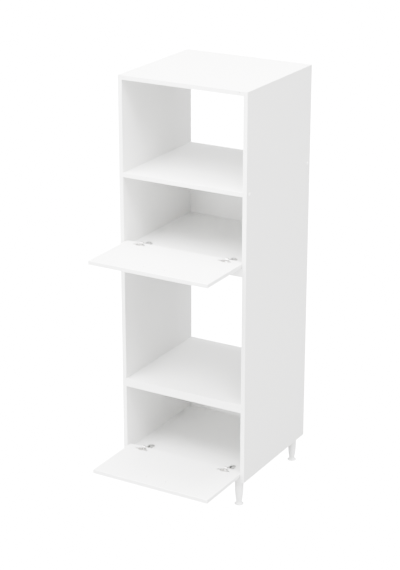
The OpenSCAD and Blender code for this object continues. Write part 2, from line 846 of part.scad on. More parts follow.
// A headless screw in the channel's top that bears on the rail
module hinge_adjusting_screws() {
    color(zinc) for (side = [-1, 1], floor_z = [lower_floor_z, upper_floor_z])
        at_hinge(side, floor_z) translate([0, adjusting_screw_y, rail_top]) difference() {
            cylinder(d = machine_screw_d, h = adjusting_screw_l);
            translate([0, 0, adjusting_screw_l])
                screw_cross(machine_screw_d * 0.7, adjusting_screw_l / 4);
        }
}

// ---- Flaps, lying open ----

module flap_panel(floor_z, compartment_h) {
    h = flap_h(compartment_h);
    color(board_white) difference() {
        translate([
            -flap_w / 2 + flap_band_t,
            front_y + flap_rear_y - h + flap_band_t,
            floor_z + flap_floor_gap
        ])
            cube([flap_w - 2 * flap_band_t, h - 2 * flap_band_t, flap_t]);
        for (side = [-1, 1]) {
            at_hinge(side, floor_z) {
                translate([0, cup_y, flap_face_z - cup_depth - fit])
                    cylinder(r = cup_r, h = cup_depth + past);
                cup_screw_places() translate([0, 0, flange_t])
                    wood_screw_hole(wood_screw_d, wood_screw_reach);
            }
            translate([
                side * handle_hole_spacing / 2,
                front_y + flap_rear_y - h + handle_hole_edge,
                floor_z + flap_floor_gap - past
            ])
                cylinder(d = handle_hole_d, h = flap_t + 2 * past);
        }
    }
}

// The two cup screws, at the height of the flap's face
module cup_screw_places() {
    for (x = [-cup_screw_spacing / 2, cup_screw_spacing / 2])
        translate([x, cup_y - cup_screw_offset, flap_face_z]) children();
}

module flap_edge_bands(floor_z, compartment_h) {
    h = flap_h(compartment_h);
    rear_y = front_y + flap_rear_y;
    short_l = h - 2 * flap_band_t - fit;
    color(band_white) translate([0, rear_y - h / 2, floor_z + flap_floor_gap]) {
        for (side = [0, 1]) mirror([0, side, 0]) translate([0, -h / 2, 0])
            along_x(flap_w) band_outline(flap_band_t, flap_t, flap_corner_r);
        for (side = [0, 1]) mirror([side, 0, 0]) translate([-flap_w / 2, 0, 0])
            rotate(-90) along_x(short_l) band_outline(flap_band_t, flap_t, flap_corner_r);
    }
}

module upper_flap_panel() { flap_panel(upper_floor_z, upper_compartment_h); }
module lower_flap_panel() { flap_panel(lower_floor_z, lower_compartment_h); }
module upper_flap_edge_bands() { flap_edge_bands(upper_floor_z, upper_compartment_h); }
module lower_flap_edge_bands() { flap_edge_bands(lower_floor_z, lower_compartment_h); }

// ---- Hinges, parts fixed to the flaps ----

module hinge_cup(side, floor_z) {
    color(nickel) at_hinge(side, floor_z) difference() {
        union() {
            translate([0, cup_y, flap_face_z - cup_depth]) cylinder(r = cup_r - fit, h = cup_depth);
            translate([0, 0, flap_face_z]) linear_extrude(flange_t) flange_outline();
        }
        cup_pocket();
        translate([-pin_half_l, pivot_depth, pivot_z]) rod_x(pin_d / 2 + pin_fit, 2 * pin_half_l);
        cup_screw_places() translate([0, 0, flange_t])
            wood_screw_hole(wood_screw_d, wood_screw_reach);
    }
}

// The flange on the flap's face: a ring open towards the arm, and two ears for the screws
module flange_outline() {
    rim_r = cup_r + flange_rim_w;
    union() {
        translate([0, cup_y]) intersection() {
            circle(r = rim_r);
            translate([-rim_r, -rim_r]) square([2 * rim_r, rim_r + cup_r / 2]);
        }
        translate([0, cup_y - cup_screw_offset]) {
            translate([-cup_screw_spacing / 2, -ear_r]) square([cup_screw_spacing, 2 * ear_r]);
            for (x = [-cup_screw_spacing / 2, cup_screw_spacing / 2])
                translate([x, 0]) circle(r = ear_r);
        }
    }
}

// The pocket of the cup, which leaves a cheek on each side of the arm to hold the pin
module cup_pocket() {
    cheek_y = pivot_depth - eye_r - cheek_front_l;
    difference() {
        translate([0, cup_y, pocket_floor_z]) cylinder(r = pocket_r, h = cup_depth + flange_t);
        for (side = [0, 1]) mirror([side, 0, 0])
            translate([cheek_gap, cheek_y, pocket_floor_z - past])
                cube([cup_r, cup_r, flap_face_z - pocket_floor_z]);
    }
}

module upper_left_hinge_cup() { hinge_cup(-1, upper_floor_z); }
module upper_right_hinge_cup() { hinge_cup(1, upper_floor_z); }
module lower_left_hinge_cup() { hinge_cup(-1, lower_floor_z); }
module lower_right_hinge_cup() { hinge_cup(1, lower_floor_z); }

module hinge_pins(floor_z) {
    color(zinc) for (side = [-1, 1]) at_hinge(side, floor_z)
        translate([-pin_half_l + pin_fit, pivot_depth, pivot_z])
            rod_x(pin_d / 2, 2 * (pin_half_l - pin_fit));
}

// A leaf spring on the pocket's floor, whose free end rises towards the arm's eye
module cup_springs(floor_z) {
    spring_w = neck_w - 2 * spring_side_gap;
    steps = spring_steps;
    tip_y = pivot_depth - eye_r - spring_tip_gap;
    bend_y = tip_y - spring_rise_l;
    end_y = cup_y - pocket_r + spring_end_gap;
    function lift(i) = spring_rise * pow(i / steps, 2);
    under = [for (i = [0:steps]) [bend_y + (tip_y - bend_y) * i / steps, fit + lift(i)]];
    over = [for (i = [steps:-1:0]) under[i] + [0, spring_t]];
    outline = concat([[end_y, fit]], under, over, [[end_y, fit + spring_t]]);
    color(zinc) for (side = [-1, 1]) at_hinge(side, floor_z)
        translate([0, 0, pocket_floor_z]) along_x(spring_w) polygon(outline);
}

module cup_screws(floor_z) {
    color(zinc) for (side = [-1, 1]) at_hinge(side, floor_z)
        cup_screw_places() translate([0, 0, flange_t])
            wood_screw(wood_screw_d, wood_screw_reach);
}

module upper_hinge_pins() { hinge_pins(upper_floor_z); }
module lower_hinge_pins() { hinge_pins(lower_floor_z); }
module upper_cup_springs() { cup_springs(upper_floor_z); }
module lower_cup_springs() { cup_springs(lower_floor_z); }
module upper_cup_screws() { cup_screws(upper_floor_z); }
module lower_cup_screws() { cup_screws(lower_floor_z); }

left_side_panel();
right_side_panel();
top_panel();
microwave_shelf();
upper_compartment_floor();
oven_niche_top();
oven_shelf();
lower_compartment_top();
bottom_panel();
upper_back_panel();
lower_back_panel();
side_edge_bands();
shelf_edge_bands();
doubling_board_edge_bands();
microwave_shelf_screws();
screw_cover_caps();
wooden_dowels();
cam_bolts();
cam_locks();
doubling_screws();
front_left_leg_plate();
front_right_leg_plate();
rear_left_leg_plate();
rear_right_leg_plate();
front_left_leg();
front_right_leg();
rear_left_leg();
rear_right_leg();
front_left_foot();
front_right_foot();
rear_left_foot();
rear_right_foot();
leg_screws();
upper_left_mounting_plate();
upper_right_mounting_plate();
lower_left_mounting_plate();
lower_right_mounting_plate();
upper_left_hinge_arm();
upper_right_hinge_arm();
lower_left_hinge_arm();
lower_right_hinge_arm();
mounting_plate_screws();
hinge_fixing_screws();
hinge_adjusting_screws();
upper_flap_panel();
lower_flap_panel();
upper_flap_edge_bands();
lower_flap_edge_bands();
upper_left_hinge_cup();
upper_right_hinge_cup();
lower_left_hinge_cup();
lower_right_hinge_cup();
upper_hinge_pins();
lower_hinge_pins();
upper_cup_springs();
lower_cup_springs();
upper_cup_screws();
lower_cup_screws();
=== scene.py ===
"""Dresses a tall white microwave cabinet: boards, bands, flaps, hinges, legs and its studio."""

import math

import bpy
from bpy.props import FloatProperty, FloatVectorProperty, PointerProperty
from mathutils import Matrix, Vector


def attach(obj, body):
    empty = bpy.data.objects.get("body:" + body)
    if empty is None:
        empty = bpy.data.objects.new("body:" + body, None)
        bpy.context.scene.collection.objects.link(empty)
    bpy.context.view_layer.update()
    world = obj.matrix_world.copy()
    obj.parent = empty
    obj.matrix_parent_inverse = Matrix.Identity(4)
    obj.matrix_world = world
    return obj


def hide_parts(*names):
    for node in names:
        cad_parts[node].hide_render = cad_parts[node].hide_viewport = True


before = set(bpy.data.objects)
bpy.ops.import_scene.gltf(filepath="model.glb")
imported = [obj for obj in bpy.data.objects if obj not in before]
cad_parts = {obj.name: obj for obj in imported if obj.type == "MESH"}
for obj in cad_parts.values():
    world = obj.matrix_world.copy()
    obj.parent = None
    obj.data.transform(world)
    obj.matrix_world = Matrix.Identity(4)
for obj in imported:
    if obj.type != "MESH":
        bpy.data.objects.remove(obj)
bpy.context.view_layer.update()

bl_info = {
    "name": "Microwave Cabinet",
    "version": (1, 0, 0),
    "blender": (4, 5, 0),
    "location": "View3D > Sidebar > Cabinet",
    "description": "Dresses a tall kitchen cabinet with two flaps, piece by piece",
    "category": "Object",
}

SIDE_BOARDS = ("left_side_panel", "right_side_panel")
SHELF_BOARDS = (
    "top_panel",
    "microwave_shelf",
    "upper_compartment_floor",
    "oven_niche_top",
    "oven_shelf",
    "lower_compartment_top",
    "bottom_panel",
)
BACK_BOARDS = ("upper_back_panel", "lower_back_panel")
FRONT_BANDS = ("side_edge_bands", "shelf_edge_bands", "doubling_board_edge_bands")
LEVELS = ("upper", "lower")
SIDES = ("left", "right")
CORNERS = ("front_left", "front_right", "rear_left", "rear_right")


# ---- Settings ----


class CabinetSizes(bpy.types.PropertyGroup):
    """Small sizes that the dressed pieces add to the frame"""

    board_arris: FloatProperty(
        name="Board arris",
        description="Width of the softened edges of the boards",
        default=0.0004,
        min=0.0001,
        max=0.001,
        subtype="DISTANCE",
        unit="LENGTH",
    )
    band_arris: FloatProperty(
        name="Band arris",
        description="Width of the softened edges of the plastic bands",
        default=0.0001,
        min=0.00005,
        max=0.0003,
        subtype="DISTANCE",
        unit="LENGTH",
    )
    metal_arris: FloatProperty(
        name="Metal arris",
        description="Width of the rounded edges of the hinge parts",
        default=0.0003,
        min=0.0001,
        max=0.0005,
        subtype="DISTANCE",
        unit="LENGTH",
    )
    # The bright arch is a painted highlight: its faces keep the nickel, and the faces beyond it get
    # the dull grey plating as painted shade.
    highlight_arch_width: FloatProperty(
        name="Arch width",
        description="Width up to which a face of a hinge arm belongs to its bright arch",
        default=0.0116,
        min=0.005,
        max=0.02,
        subtype="DISTANCE",
        unit="LENGTH",
    )
    screw_arris: FloatProperty(
        name="Screw arris",
        description="Width of the rounded edges of the screw heads",
        default=0.00012,
        min=0.00005,
        max=0.0003,
        subtype="DISTANCE",
        unit="LENGTH",
    )
    pin_arris: FloatProperty(
        name="Pin arris",
        description="Width of the rounded edges of the hinge pins and springs",
        default=0.0001,
        min=0.00005,
        max=0.0003,
        subtype="DISTANCE",
        unit="LENGTH",
    )
    cap_arris: FloatProperty(
        name="Cap arris",
        description="Width of the rounded edges of the screw caps",
        default=0.0003,
        min=0.0001,
        max=0.0005,
        subtype="DISTANCE",
        unit="LENGTH",
    )
    leg_arris: FloatProperty(
        name="Leg arris",
        description="Width of the rounded edges of the legs",
        default=0.0005,
        min=0.0001,
        max=0.001,
        subtype="DISTANCE",
        unit="LENGTH",
    )
    foot_arris: FloatProperty(
        name="Foot arris",
        description="Width of the rounded edges of the feet and the leg plates",
        default=0.0004,
        min=0.0001,
        max=0.001,
        subtype="DISTANCE",
        unit="LENGTH",
    )


class CabinetColours(bpy.types.PropertyGroup):
    """Base colours of the finishes"""

    board: FloatVectorProperty(
        name="Board",
        description="Melamine face of the boards and flaps",
        default=(0.71, 0.71, 0.70),
        size=3,
        subtype="COLOR",
    )
    # Set lighter than the boards so the front edges read brighter: the band's own white with
    # painted light on top.
    band: FloatVectorProperty(
        name="Band",
        description="Plastic bands on the edges",
        default=(0.84, 0.84, 0.83),
        size=3,
        subtype="COLOR",
    )
    # Set darker than the boards so the backs read as lying in shade: the lacquer's own white with
    # painted shade on top.
    back: FloatVectorProperty(
        name="Back",
        description="Lacquered face of the hardboard backs",
        default=(0.56, 0.56, 0.55),
        size=3,
        subtype="COLOR",
    )
    # Set whiter than the boards so the domed screw caps read bright: the moulding's own white with
    # a painted highlight on top.
    plastic: FloatVectorProperty(
        name="Plastic",
        description="Moulded legs, feet and screw caps",
        default=(0.93, 0.93, 0.92),
        size=3,
        subtype="COLOR",
    )
    # On the hinge arms only the arch keeps this nickel, which makes it a painted highlight beside
    # the dull grey plating.
    nickel: FloatVectorProperty(
        name="Nickel",
        description="Plated hinge parts",
        default=(0.60, 0.59, 0.57),
        size=3,
        subtype="COLOR",
    )
    cup: FloatVectorProperty(
        name="Satin nickel",
        description="Brushed plating of the hinge cups",
        default=(0.74, 0.73, 0.71),
        size=3,
        subtype="COLOR",
    )
    # Grey that stands in for the shade and dark reflections on the hinge arms and mounting plates,
    # which are bright nickel: painted shade and painted reflection.
    plate: FloatVectorProperty(
        name="Grey plate",
        description="Duller plating of the hinge arms and their mounting plates",
        default=(0.34, 0.34, 0.33),
        size=3,
        subtype="COLOR",
    )
    zinc: FloatVectorProperty(
        name="Zinc",
        description="Screws, pins, bolts and cams",
        default=(0.62, 0.63, 0.64),
        size=3,
        subtype="COLOR",
    )
    beech: FloatVectorProperty(
        name="Beech",
        description="Wooden dowels",
        default=(0.58, 0.38, 0.20),
        size=3,
        subtype="COLOR",
    )
    core: FloatVectorProperty(
        name="Core",
        description="Raw chipboard and hardboard where no coating covers them",
        default=(0.34, 0.23, 0.13),
        size=3,
        subtype="COLOR",
    )


class CabinetStudio(bpy.types.PropertyGroup):
    """Camera and light"""

    lens: FloatProperty(
        name="Lens",
        description="Focal length in millimetres",
        default=106.27,
        min=20.0,
        max=300.0,
    )
    camera_place: FloatVectorProperty(
        name="Camera place",
        description="Where the camera stands",
        default=(3.3394, -5.7633, 3.3757),
        size=3,
        subtype="TRANSLATION",
        unit="LENGTH",
    )
    camera_tilt: FloatProperty(
        name="Camera tilt",
        description="Angle between the view and straight down",
        default=math.radians(69.721),
        subtype="ANGLE",
        unit="ROTATION",
    )
    camera_turn: FloatProperty(
        name="Camera turn",
        description="Turn of the view about the vertical",
        default=math.radians(30.061),
        subtype="ANGLE",
        unit="ROTATION",
    )
    front_sky: FloatProperty(
        name="Front sky",
        description="Strength of the even light from the front",
        default=0.8,
        min=0.0,
        max=20.0,
    )
    top_sky: FloatProperty(
        name="Top sky",
        description="Strength of the even light from above",
        default=4.25,
        min=0.0,
        max=20.0,
    )
    left_key: FloatProperty(
        name="Left key light",
        description="Power of the large light above the front, on the left, in watts",
        default=2530.0,
        min=0.0,
        max=20000.0,
    )
    right_key: FloatProperty(
        name="Right key light",
        description="Power of the light above the front, on the right, in watts",
        default=1240.0,
        min=0.0,
        max=20000.0,
    )
    overhead: FloatProperty(
        name="Overhead light",
        description="Power of the light straight above, in watts",
        default=2400.0,
        min=0.0,
        max=20000.0,
    )
    front_fill: FloatProperty(
        name="Front fill",
        description="Power of the low light in front, in watts",
        default=1120.0,
        min=0.0,
        max=20000.0,
    )
    right_fill: FloatProperty(
        name="Right fill",
        description="Power of the light on the right side, in watts",
        default=410.0,
        min=0.0,
        max=20000.0,
    )
    left_fill: FloatProperty(
        name="Left fill",
        description="Power of the light on the left side, in watts",
        default=130.0,
        min=0.0,
        max=20000.0,
    )
    rear_fill: FloatProperty(
        name="Rear fill",
        description="Power of the light on the back, in watts",
        default=500.0,
        min=0.0,
        max=20000.0,
    )


# ---- Selecting and copying ----

MERGE_DISTANCE = 0.000002
FLAT_WITHIN = math.radians(0.4)
COATING_DEPTH = 0.0006

# Edges that turn by more than these angles are rounded. The facets of a round stretch turn by less.
SQUARE_EDGE = math.radians(35.0)
MOULDED_EDGE = math.radians(40.0)
DOMED_EDGE = math.radians(50.0)


def select_only(*objects):
    """Leaves just these objects selected, the last one active."""
    if bpy.context.object and bpy.context.object.mode != "OBJECT":
        bpy.ops.object.mode_set(mode="OBJECT")
    bpy.ops.object.select_all(action="DESELECT")
    for piece in objects:
        piece.select_set(True)
        bpy.context.view_layer.objects.active = piece


def copy_of(node, name):
    """A merged copy of a node, free of the frame's marks, with its flat faces made whole again."""
    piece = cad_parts[node].copy()
    piece.data = piece.data.copy()
    for key in list(piece.keys()):
        del piece[key]
    piece.parent = None
    piece.name = name
    piece.data.name = name
    piece.data.materials.clear()
    bpy.context.scene.collection.objects.link(piece)
    select_only(piece)
    bpy.ops.object.mode_set(mode="EDIT")
    bpy.ops.mesh.select_all(action="SELECT")
    bpy.ops.mesh.remove_doubles(threshold=MERGE_DISTANCE)
    bpy.ops.mesh.dissolve_limited(angle_limit=FLAT_WITHIN)
    bpy.ops.object.mode_set(mode="OBJECT")
    return piece


def soften(piece, width, segments, edge):
    """Rounds the edges that turn by more than an angle and smooths what lies between them."""
    select_only(piece)
    arris = piece.modifiers.new("Arris", "BEVEL")
    arris.width = width
    arris.segments = segments
    arris.limit_method = "ANGLE"
    arris.angle_limit = edge
    arris.harden_normals = False
    arris.use_clamp_overlap = True
    bpy.ops.object.modifier_apply(modifier=arris.name)
    bpy.ops.object.shade_smooth_by_angle(angle=edge)
    even = piece.modifiers.new("Even Shading", "WEIGHTED_NORMAL")
    even.keep_sharp = True
    even.weight = 100
    bpy.ops.object.modifier_apply(modifier=even.name)


def dress(node, name, body, slot, material, arris, segments=2, edge=SQUARE_EDGE):
    """A softened copy of a node in its finish, which rides on a body and stands for the node."""
    piece = copy_of(node, name)
    soften(piece, arris, segments, edge)
    piece.data.materials.append(material)
    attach(piece, body)
    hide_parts(node)
    return piece


def finish_faces(piece, material, wanted):
    """Gives the faces that pass a test a material of their own."""
    select_only(piece)
    bpy.ops.object.mode_set(mode="EDIT")
    bpy.ops.mesh.select_mode(type="FACE")
    bpy.ops.mesh.select_all(action="DESELECT")
    bpy.ops.object.mode_set(mode="OBJECT")
    for face in piece.data.polygons:
        face.select = wanted(face)
    piece.data.materials.append(material)
    piece.active_material_index = len(piece.data.materials) - 1
    bpy.ops.object.mode_set(mode="EDIT")
    bpy.ops.object.material_slot_assign()
    bpy.ops.object.mode_set(mode="OBJECT")


def bare_cuts(board):
    """Shows the raw core on the walls of holes and grooves, which are cut through the coating."""
    low = [min(corner[axis] for corner in board.bound_box) + COATING_DEPTH for axis in range(3)]
    high = [max(corner[axis] for corner in board.bound_box) - COATING_DEPTH for axis in range(3)]
    finish_faces(
        board,
        core_material(),
        lambda face: all(low[axis] < face.center[axis] < high[axis] for axis in range(3)),
    )


def faces_back(face):
    """Tells whether a face looks to the rear."""
    return face.normal.y > 0.5


def finish_nodes(material, *nodes):
    """Gives carried-over nodes their material."""
    for node in nodes:
        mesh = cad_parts[node].data
        mesh.materials.clear()
        mesh.materials.append(material)


# ---- Shader nodes ----

# How smooth the dimples of the pearl grain are, and how much they add to its noise
DIMPLE_SMOOTHNESS = 0.6
DIMPLE_SHARE = 0.45


def math_node(nodes, links, operation, first, second):
    """A Math node's result for two values, the second a socket or a number."""
    made = nodes.new("ShaderNodeMath")
    made.operation = operation
    links.new(first, made.inputs[0])
    if isinstance(second, float):
        made.inputs[1].default_value = second
    else:
        links.new(second, made.inputs[1])
    return made.outputs[0]


def new_group(name, inputs, outputs):
    """An empty shader group, with inputs given by name and default, and outputs by name."""
    group = bpy.data.node_groups.new(name, "ShaderNodeTree")
    for socket, default in inputs.items():
        made = group.interface.new_socket(socket, in_out="INPUT", socket_type="NodeSocketFloat")
        made.default_value = default
    for socket in outputs:
        group.interface.new_socket(socket, in_out="OUTPUT", socket_type="NodeSocketFloat")
    return group, group.nodes.new("NodeGroupInput"), group.nodes.new("NodeGroupOutput")


def stretched(nodes, links, spot, axis, factor):
    """A place multiplied along one axis by a socket."""
    size = nodes.new("ShaderNodeCombineXYZ")
    for other in "XYZ":
        size.inputs[other].default_value = 1.0
    links.new(factor, size.inputs[axis])
    scaled = nodes.new("ShaderNodeVectorMath")
    scaled.operation = "MULTIPLY"
    links.new(spot, scaled.inputs[0])
    links.new(size.outputs["Vector"], scaled.inputs[1])
    return scaled.outputs["Vector"]


def noise(nodes, links, spot, scale, detail, roughness):
    """A noise read at a place, with its scale from a socket."""
    texture = nodes.new("ShaderNodeTexNoise")
    texture.inputs["Detail"].default_value = detail
    texture.inputs["Roughness"].default_value = roughness
    links.new(scale, texture.inputs["Scale"])
    links.new(spot, texture.inputs["Vector"])
    return texture.outputs["Fac"]


def pearl_group():
    """The fine pearl grain pressed into melamine and lacquer, with a broad cloudiness."""
    name = "Pearl Grain"
    if name in bpy.data.node_groups:
        return bpy.data.node_groups[name]
    inputs = {"Grain Scale": 1400.0, "Cloud Scale": 9.0, "Stretch": 1.0}
    group, source, sink = new_group(name, inputs, ("Height", "Cloud"))
    nodes, links = group.nodes, group.links
    spot = nodes.new("ShaderNodeTexCoord").outputs["Object"]
    place = stretched(nodes, links, spot, "X", source.outputs["Stretch"])
    grain = noise(nodes, links, place, source.outputs["Grain Scale"], detail=2.0, roughness=0.6)
    cloud = noise(nodes, links, place, source.outputs["Cloud Scale"], detail=3.0, roughness=0.55)
    dimple = nodes.new("ShaderNodeTexVoronoi")
    dimple.feature = "SMOOTH_F1"
    dimple.inputs["Smoothness"].default_value = DIMPLE_SMOOTHNESS
    links.new(source.outputs["Grain Scale"], dimple.inputs["Scale"])
    links.new(place, dimple.inputs["Vector"])
    both = nodes.new("ShaderNodeMath")
    both.operation = "MULTIPLY_ADD"
    both.inputs[1].default_value = DIMPLE_SHARE
    links.new(dimple.outputs["Distance"], both.inputs[0])
    links.new(grain, both.inputs[2])
    links.new(both.outputs[0], sink.inputs["Height"])
    links.new(cloud, sink.inputs["Cloud"])
    return group


def brushed_group():
    """Fine drawn lines along one direction, and the larger blotches of plating."""
    name = "Drawn Metal"
    if name in bpy.data.node_groups:
        return bpy.data.node_groups[name]
    inputs = {"Line Scale": 900.0, "Blotch Scale": 120.0, "Length": 0.06}
    group, source, sink = new_group(name, inputs, ("Lines", "Blotches"))
    nodes, links = group.nodes, group.links
    spot = nodes.new("ShaderNodeTexCoord").outputs["Object"]
    place = stretched(nodes, links, spot, "Y", source.outputs["Length"])
    lines = noise(nodes, links, place, source.outputs["Line Scale"], detail=3.0, roughness=0.7)
    blotches = noise(nodes, links, spot, source.outputs["Blotch Scale"], detail=2.0, roughness=0.5)
    links.new(lines, sink.inputs["Lines"])
    links.new(blotches, sink.inputs["Blotches"])
    return group


# ---- Materials ----

# How far the roughness of a coated face strays from its middle value, how strongly its relief
# shows, and how rough the clear coat over it is
COATING_STRAY = 0.05
COATING_RELIEF = 0.6
CLEAR_COAT_ROUGHNESS = 0.12

# How far drawn lines make plated steel smoother and rougher, how deep they are, and how
# strongly they show
PLATE_SMOOTHER = 0.08
PLATE_ROUGHER = 0.1
LINE_DEPTH = 0.00002
LINE_RELIEF = 0.3

# The print of the wire mesh on hardboard, with a wire every 1.4 mm, and how uneven its wires are
WIRE_SCALE = 220.0
WIRE_UNEVENNESS = 0.4

# The chips of raw chipboard, which are about 1 mm wide
CHIP_SCALE = 900.0


def new_material(name, colour, metallic=0.0):
    """A Principled material, and its shader, nodes and links."""
    material = bpy.data.materials.new(name)
    material.use_nodes = True
    material.diffuse_color = (*colour, 1.0)
    shader = material.node_tree.nodes["Principled BSDF"]
    shader.inputs["Metallic"].default_value = metallic
    return material, shader, material.node_tree.nodes, material.node_tree.links


def add_group(nodes, group, **values):
    """A shader group placed in a material, with its own values."""
    placed = nodes.new("ShaderNodeGroup")
    placed.node_tree = group
    for setting, value in values.items():
        placed.inputs[setting.replace("_", " ").title()].default_value = value
    return placed


def tone(nodes, links, shader, mask, colour, shade):
    """Lets the base colour wander a little below its full value, where the mask is low."""
    mix = nodes.new("ShaderNodeMix")
    mix.data_type = "RGBA"
    mix.inputs["A"].default_value = (*[channel * shade for channel in colour], 1.0)
    mix.inputs["B"].default_value = (*colour, 1.0)
    links.new(mask, mix.inputs["Factor"])
    links.new(mix.outputs["Result"], shader.inputs["Base Color"])


def gloss(nodes, links, shader, mask, low, high):
    """Lets the roughness follow the mask between two values."""
    mapped = nodes.new("ShaderNodeMapRange")
    mapped.inputs["To Min"].default_value = low
    mapped.inputs["To Max"].default_value = high
    links.new(mask, mapped.inputs["Value"])
    links.new(mapped.outputs["Result"], shader.inputs["Roughness"])


def relief(nodes, links, shader, height, distance, strength):
    """Turns a height into the surface's normal."""
    bump = nodes.new("ShaderNodeBump")
    bump.inputs["Strength"].default_value = strength
    bump.inputs["Distance"].default_value = distance
    links.new(height, bump.inputs["Height"])
    links.new(bump.outputs["Normal"], shader.inputs["Normal"])


def coated_material(name, colour, grain, cloud, rough, depth, shade=0.985, stretch=1.0, coat=0.0):
    """A pale coated surface: melamine, lacquer, plastic band or moulded plastic."""
    if name in bpy.data.materials:
        return bpy.data.materials[name]
    material, shader, nodes, links = new_material(name, colour)
    pearl = add_group(
        nodes, pearl_group(), grain_scale=grain, cloud_scale=cloud, stretch=stretch
    )
    tone(nodes, links, shader, pearl.outputs["Cloud"], colour, shade)
    low, high = rough - COATING_STRAY, rough + COATING_STRAY
    gloss(nodes, links, shader, pearl.outputs["Cloud"], low, high)
    relief(nodes, links, shader, pearl.outputs["Height"], depth, COATING_RELIEF)
    shader.inputs["Coat Weight"].default_value = coat
    shader.inputs["Coat Roughness"].default_value = CLEAR_COAT_ROUGHNESS
    return material


def metal_material(name, colour, lines, blotches, rough, shade, length=0.06):
    """A plated steel surface with drawn lines and a blotchy plating."""
    if name in bpy.data.materials:
        return bpy.data.materials[name]
    material, shader, nodes, links = new_material(name, colour, metallic=1.0)
    drawn = add_group(
        nodes, brushed_group(), line_scale=lines, blotch_scale=blotches, length=length
    )
    tone(nodes, links, shader, drawn.outputs["Blotches"], colour, shade)
    low, high = rough - PLATE_SMOOTHER, rough + PLATE_ROUGHER
    gloss(nodes, links, shader, drawn.outputs["Lines"], low, high)
    relief(nodes, links, shader, drawn.outputs["Lines"], LINE_DEPTH, LINE_RELIEF)
    return material


def board_material():
    """White melamine"""
    colour = tuple(bpy.context.scene.cabinet_colours.board)
    return coated_material(
        "White Melamine", colour, grain=1100.0, cloud=7.0, rough=0.42, depth=0.00008
    )


def lit_band_material():
    """White plastic band, set lighter than the boards as painted light on the front edges"""
    colour = tuple(bpy.context.scene.cabinet_colours.band)
    return coated_material(
        "White Band",
        colour,
        grain=1800.0,
        cloud=16.0,
        rough=0.36,
        depth=0.00002,
        shade=0.99,
        stretch=0.15,
    )


def shaded_back_material():
    """Lacquered white hardboard, set darker than the boards as painted shade on the backs"""
    colour = tuple(bpy.context.scene.cabinet_colours.back)
    return coated_material(
        "White Lacquer", colour, grain=700.0, cloud=5.0, rough=0.5, depth=0.00005, shade=0.975
    )


def plastic_and_highlight_material():
    """White moulded plastic, set whiter than the boards as a painted highlight on the screw caps"""
    colour = tuple(bpy.context.scene.cabinet_colours.plastic)
    return coated_material(
        "White Moulding",
        colour,
        grain=1700.0,
        cloud=30.0,
        rough=0.34,
        depth=0.00002,
        shade=0.98,
        coat=0.7,
    )


def nickel_material():
    """Nickel plate"""
    colour = tuple(bpy.context.scene.cabinet_colours.nickel)
    return metal_material(
        "Nickel Plate", colour, lines=1500.0, blotches=160.0, rough=0.16, shade=0.9
    )


def cup_material():
    """Satin nickel plate"""
    colour = tuple(bpy.context.scene.cabinet_colours.cup)
    return metal_material(
        "Satin Nickel", colour, lines=1300.0, blotches=200.0, rough=0.34, shade=0.92
    )


def shaded_plate_material():
    """Painted shade and painted reflection: a dull grey on plating that is really bright nickel"""
    colour = tuple(bpy.context.scene.cabinet_colours.plate)
    return metal_material(
        "Grey Plate", colour, lines=1500.0, blotches=160.0, rough=0.38, shade=0.85
    )


def zinc_material():
    """Zinc plate"""
    colour = tuple(bpy.context.scene.cabinet_colours.zinc)
    return metal_material(
        "Zinc Plate", colour, lines=1800.0, blotches=300.0, rough=0.36, shade=0.82, length=0.5
    )


def beech_material():
    """Raw beech"""
    name = "Raw Beech"
    if name in bpy.data.materials:
        return bpy.data.materials[name]
    colour = tuple(bpy.context.scene.cabinet_colours.beech)
    material, shader, nodes, links = new_material(name, colour)
    grain = add_group(nodes, pearl_group(), grain_scale=1600.0, cloud_scale=420.0, stretch=0.08)
    tone(nodes, links, shader, grain.outputs["Cloud"], colour, shade=0.7)
    gloss(nodes, links, shader, grain.outputs["Cloud"], low=0.6, high=0.75)
    relief(nodes, links, shader, grain.outputs["Height"], distance=0.00005, strength=0.5)
    return material


def hardboard_material():
    """Raw hardboard: brown fibres under the print of the wire mesh it was pressed on"""
    name = "Raw Hardboard"
    if name in bpy.data.materials:
        return bpy.data.materials[name]
    colour = tuple(bpy.context.scene.cabinet_colours.core)
    material, shader, nodes, links = new_material(name, colour)
    fibre = add_group(nodes, pearl_group(), grain_scale=800.0, cloud_scale=60.0, stretch=0.7)
    tone(nodes, links, shader, fibre.outputs["Cloud"], colour, shade=0.72)
    gloss(nodes, links, shader, fibre.outputs["Cloud"], low=0.7, high=0.9)
    spot = nodes.new("ShaderNodeTexCoord")
    height = fibre.outputs["Height"]
    for way in ("X", "Z"):
        wires = nodes.new("ShaderNodeTexWave")
        wires.wave_type = "BANDS"
        wires.bands_direction = way
        wires.wave_profile = "SIN"
        wires.inputs["Scale"].default_value = WIRE_SCALE
        wires.inputs["Distortion"].default_value = WIRE_UNEVENNESS
        links.new(spot.outputs["Object"], wires.inputs["Vector"])
        height = math_node(nodes, links, "ADD", height, wires.outputs["Fac"])
    relief(nodes, links, shader, height, distance=0.00015, strength=0.5)
    return material


def core_material():
    """Raw chipboard: pale and dark chips pressed together"""
    name = "Raw Chipboard"
    if name in bpy.data.materials:
        return bpy.data.materials[name]
    colour = tuple(bpy.context.scene.cabinet_colours.core)
    material, shader, nodes, links = new_material(name, colour)
    spot = nodes.new("ShaderNodeTexCoord")
    chips = nodes.new("ShaderNodeTexVoronoi")
    chips.inputs["Scale"].default_value = CHIP_SCALE
    chips.inputs["Randomness"].default_value = 1.0
    links.new(spot.outputs["Object"], chips.inputs["Vector"])
    hue = nodes.new("ShaderNodeSeparateColor")
    links.new(chips.outputs["Color"], hue.inputs["Color"])
    tone(nodes, links, shader, hue.outputs["Red"], colour, shade=0.45)
    gloss(nodes, links, shader, hue.outputs["Green"], low=0.75, high=0.95)
    relief(nodes, links, shader, chips.outputs["Distance"], distance=0.0003, strength=0.6)
    return material


# ---- Pieces ----


